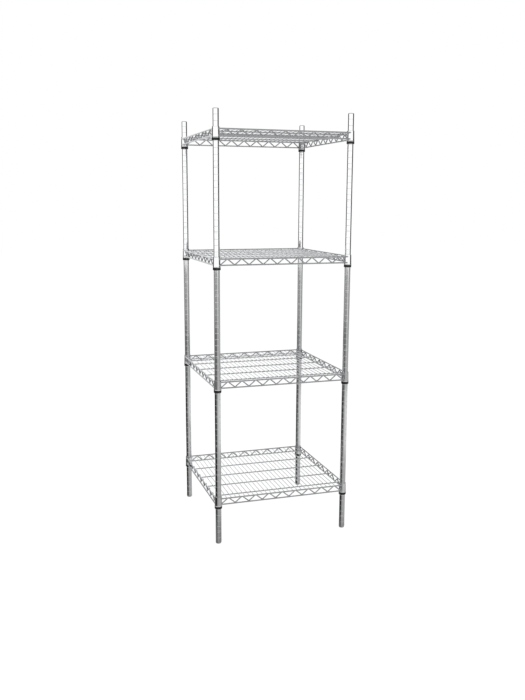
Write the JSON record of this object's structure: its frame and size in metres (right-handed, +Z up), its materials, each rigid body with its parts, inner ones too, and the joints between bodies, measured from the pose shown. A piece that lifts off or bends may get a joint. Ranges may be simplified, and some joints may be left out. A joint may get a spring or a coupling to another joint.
{
  "type": "wire shelving unit",
  "caption": "Free-standing chrome wire shelving unit: grooved tube posts carry square wire shelves on tapered split sleeves and stand on screw-in levelling feet.",
  "frame": {"origin": "on the floor under the middle of the unit", "axes": "+Z up, -Y towards the front, +X to the right seen from the front"},
  "size_m": [0.607, 0.607, 1.805],
  "materials": {
    "chromed_tube": "bright chromium plate on rolled steel tube",
    "chromed_wire": "bright chromium plate on drawn and welded steel wire",
    "chromed_fitting": "bright chromium plate on pressed steel",
    "zinc_fitting": "zinc-plated turned steel",
    "black_plastic": "moulded black plastic, satin"
  },
  "bodies": {
    "posts": {"post_front_left": "chromed_tube", "post_front_right": "chromed_tube", "post_back_left": "chromed_tube", "post_back_right": "chromed_tube", "cap_front_left": "chromed_fitting", "cap_front_right": "chromed_fitting", "cap_back_left": "chromed_fitting", "cap_back_right": "chromed_fitting", "insert_front_left": "zinc_fitting", "insert_front_right": "zinc_fitting", "insert_back_left": "zinc_fitting", "insert_back_right": "zinc_fitting", "sleeve_1_front_left": "black_plastic", "sleeve_1_front_right": "black_plastic", "sleeve_1_back_left": "black_plastic", "sleeve_1_back_right": "black_plastic", "sleeve_2_front_left": "black_plastic", "sleeve_2_front_right": "black_plastic", "sleeve_2_back_left": "black_plastic", "sleeve_2_back_right": "black_plastic", "sleeve_3_front_left": "black_plastic", "sleeve_3_front_right": "black_plastic", "sleeve_3_back_left": "black_plastic", "sleeve_3_back_right": "black_plastic", "sleeve_4_front_left": "black_plastic", "sleeve_4_front_right": "black_plastic", "sleeve_4_back_left": "black_plastic", "sleeve_4_back_right": "black_plastic"},
    "shelf_1": {"shelf_1_collars": "chromed_fitting", "shelf_1_rims": "chromed_wire", "shelf_1_zigzags": "chromed_wire", "shelf_1_supports": "chromed_wire", "shelf_1_deck": "chromed_wire"},
    "shelf_2": {"shelf_2_collars": "chromed_fitting", "shelf_2_rims": "chromed_wire", "shelf_2_zigzags": "chromed_wire", "shelf_2_supports": "chromed_wire", "shelf_2_deck": "chromed_wire"},
    "shelf_3": {"shelf_3_collars": "chromed_fitting", "shelf_3_rims": "chromed_wire", "shelf_3_zigzags": "chromed_wire", "shelf_3_supports": "chromed_wire", "shelf_3_deck": "chromed_wire"},
    "shelf_4": {"shelf_4_collars": "chromed_fitting", "shelf_4_rims": "chromed_wire", "shelf_4_zigzags": "chromed_wire", "shelf_4_supports": "chromed_wire", "shelf_4_deck": "chromed_wire"},
    "foot_front_left": {"foot_front_left": "zinc_fitting"},
    "foot_front_right": {"foot_front_right": "zinc_fitting"},
    "foot_back_left": {"foot_back_left": "zinc_fitting"},
    "foot_back_right": {"foot_back_right": "zinc_fitting"}
  },
  "joints": [
    {"name": "shelf_1_lift", "type": "slide", "parent": "posts", "child": "shelf_1", "axis": [0, 0, 1], "range_m": [0, 0.45]},
    {"name": "shelf_2_lift", "type": "slide", "parent": "posts", "child": "shelf_2", "axis": [0, 0, 1], "range_m": [0, 0.45]},
    {"name": "shelf_3_lift", "type": "slide", "parent": "posts", "child": "shelf_3", "axis": [0, 0, 1], "range_m": [0, 0.45]},
    {"name": "shelf_4_lift", "type": "slide", "parent": "posts", "child": "shelf_4", "axis": [0, 0, 1], "range_m": [0, 0.15]},
    {"name": "foot_front_left_screw", "type": "slide", "parent": "posts", "child": "foot_front_left", "axis": [0, 0, 1], "range_m": [-0.02, 0]},
    {"name": "foot_front_right_screw", "type": "slide", "parent": "posts", "child": "foot_front_right", "axis": [0, 0, 1], "range_m": [-0.02, 0]},
    {"name": "foot_back_left_screw", "type": "slide", "parent": "posts", "child": "foot_back_left", "axis": [0, 0, 1], "range_m": [-0.02, 0]},
    {"name": "foot_back_right_screw", "type": "slide", "parent": "posts", "child": "foot_back_right", "axis": [0, 0, 1], "range_m": [-0.02, 0]}
  ]
}
